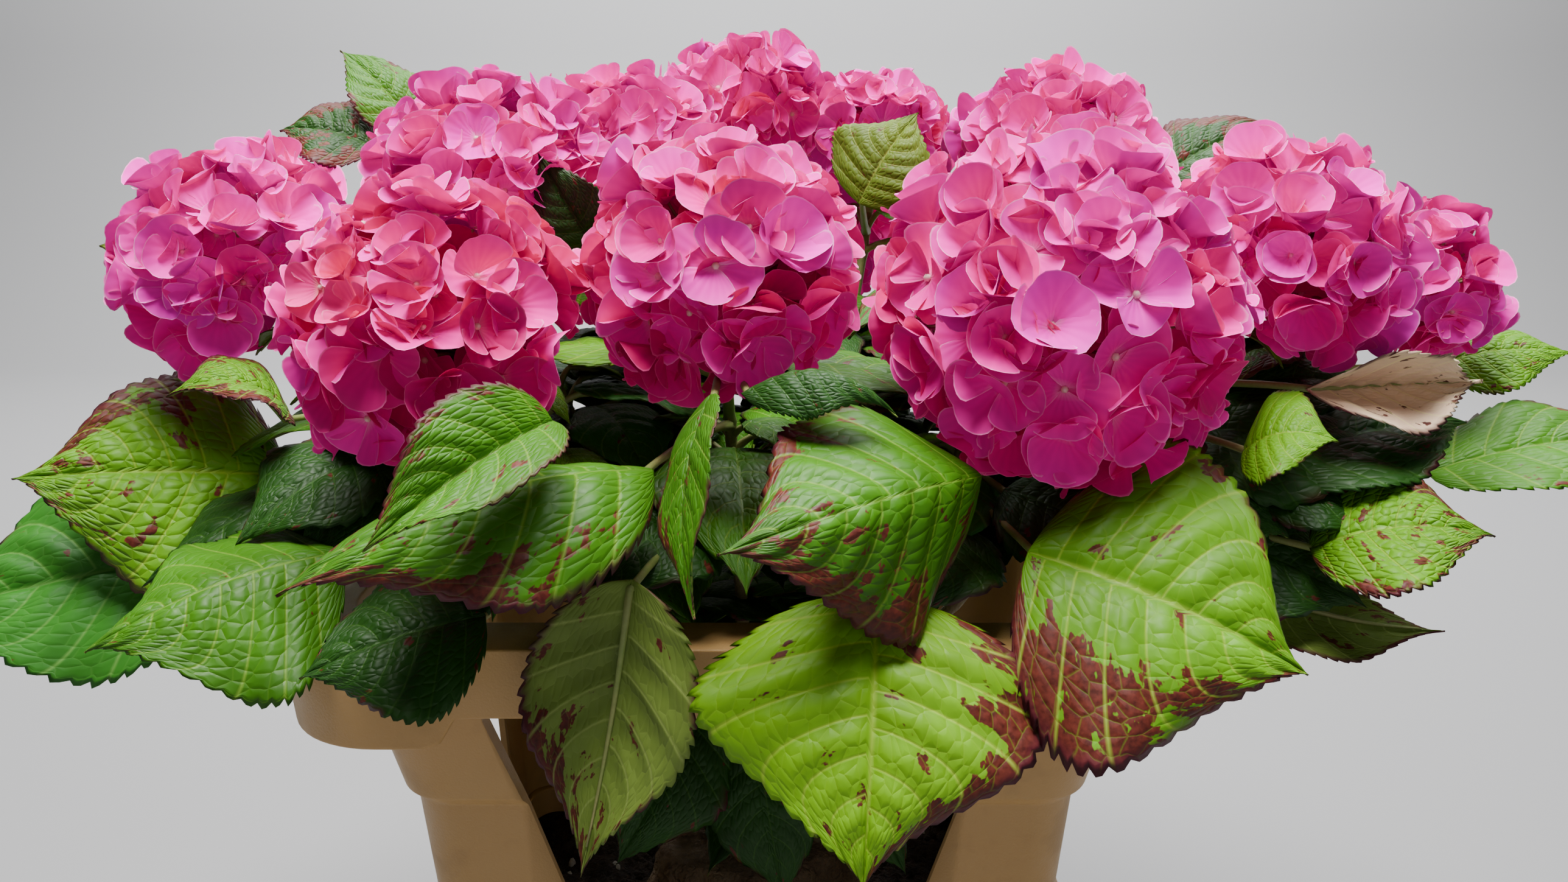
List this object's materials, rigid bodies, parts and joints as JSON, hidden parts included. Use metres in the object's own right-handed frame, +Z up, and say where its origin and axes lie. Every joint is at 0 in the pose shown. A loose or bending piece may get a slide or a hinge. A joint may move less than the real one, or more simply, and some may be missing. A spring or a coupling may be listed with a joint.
{
  "type": "potted hydrangea shrub",
  "caption": "Round-headed pink hydrangea shrub with toothed green leaves, growing in a cream two-part plastic container with side windows.",
  "frame": {"origin": "centre of the container's flat underside", "axes": "+Z up, the front is -Y, +X to the right and along the container's long side"},
  "size_m": [0.844, 0.4809, 0.6553],
  "materials": {
    "container_plastic": "satin cream plastic with faint scuffs",
    "soil": "crumbly moist potting soil",
    "bark": "rough bark",
    "cane_bark": "smooth green to tan bark",
    "foliage": "glossy toothed leaves with rust tints",
    "blossom": "soft matte petals"
  },
  "bodies": {
    "root": {"bucket": "container_plastic", "collar_foot": "container_plastic", "collar_post_front_left": "container_plastic", "collar_post_front_right": "container_plastic", "collar_post_back_left": "container_plastic", "collar_post_back_right": "container_plastic", "collar_rim_front_left": "container_plastic", "collar_rim_front_right": "container_plastic", "collar_rim_back_left": "container_plastic", "collar_rim_back_right": "container_plastic", "potting_soil": "soil", "root_crown": "bark", "cane_01": "cane_bark", "cane_02": "cane_bark", "cane_03": "cane_bark", "cane_04": "cane_bark", "cane_05": "cane_bark", "cane_06": "cane_bark", "cane_07": "cane_bark", "cane_08": "cane_bark", "cane_09": "cane_bark", "cane_10": "cane_bark", "cane_11": "cane_bark", "cane_12": "cane_bark", "cane_13": "cane_bark", "cane_14": "cane_bark", "leaves_01": "foliage", "leaves_02": "foliage", "leaves_03": "foliage", "leaves_04": "foliage", "leaves_05": "foliage", "leaves_06": "foliage", "leaves_07": "foliage", "leaves_08": "foliage", "leaves_09": "foliage", "leaves_10": "foliage", "leaves_11": "foliage", "leaves_12": "foliage", "leaves_13": "foliage", "leaves_14": "foliage", "bloom_01": "blossom", "bloom_02": "blossom", "bloom_03": "blossom", "bloom_04": "blossom", "bloom_05": "blossom", "bloom_06": "blossom", "bloom_07": "blossom", "bloom_08": "blossom", "bloom_09": "blossom", "bloom_10": "blossom", "bloom_11": "blossom", "bloom_12": "blossom", "bloom_13": "blossom", "bloom_14": "blossom"}
  },
  "joints": []
}
